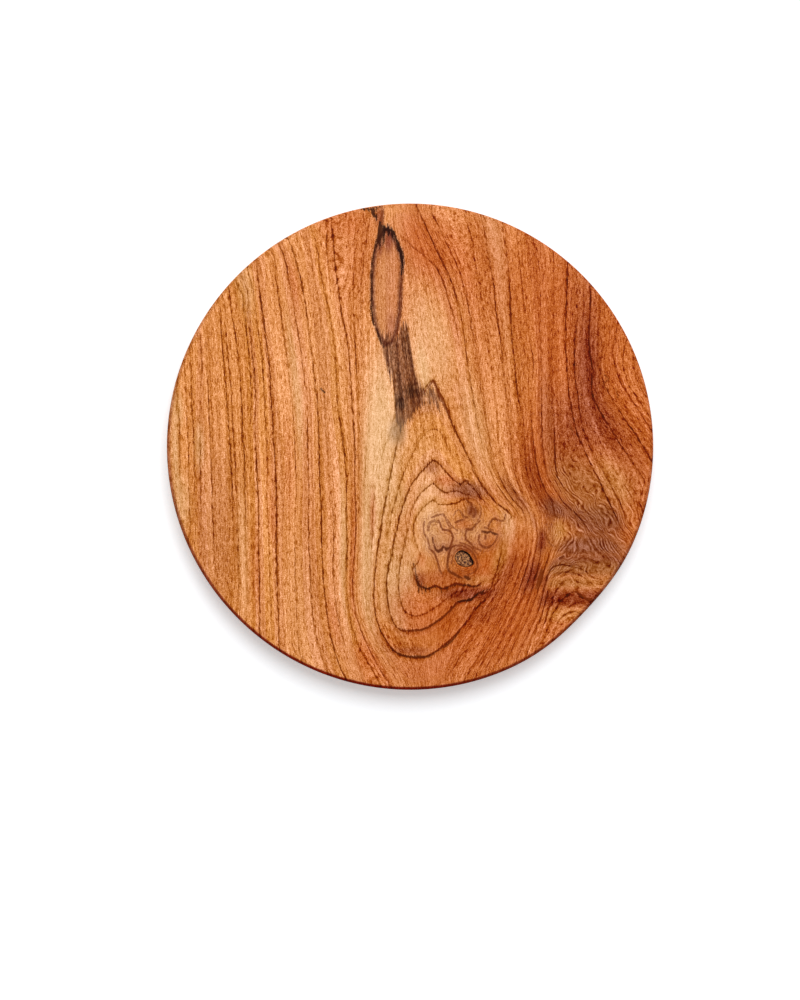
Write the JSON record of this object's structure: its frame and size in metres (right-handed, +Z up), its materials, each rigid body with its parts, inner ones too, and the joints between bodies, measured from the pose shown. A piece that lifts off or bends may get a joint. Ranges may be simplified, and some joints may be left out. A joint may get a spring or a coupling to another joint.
{
  "type": "wooden plate",
  "caption": "Round flat teak plate on a turned foot ring, undercut rim for lifting, with a dead knot set in dark filler.",
  "frame": {"origin": "centre of the plate at the foot ring's resting face", "axes": "+Z up through the serving face; +Y along the grain, towards the dark streak at the rim; +X to the right with +Y away from the viewer"},
  "size_m": [0.28, 0.28, 0.018],
  "materials": {
    "teak": "solid teak, fine sanded and oiled, satin",
    "knot_wood": "broken dead branch wood, dry and rough",
    "knot_filler": "hard dark resin filler, satin"
  },
  "bodies": {
    "root": {"teak_board": "teak", "knot_core": "knot_wood", "knot_filler": "knot_filler"}
  },
  "joints": []
}
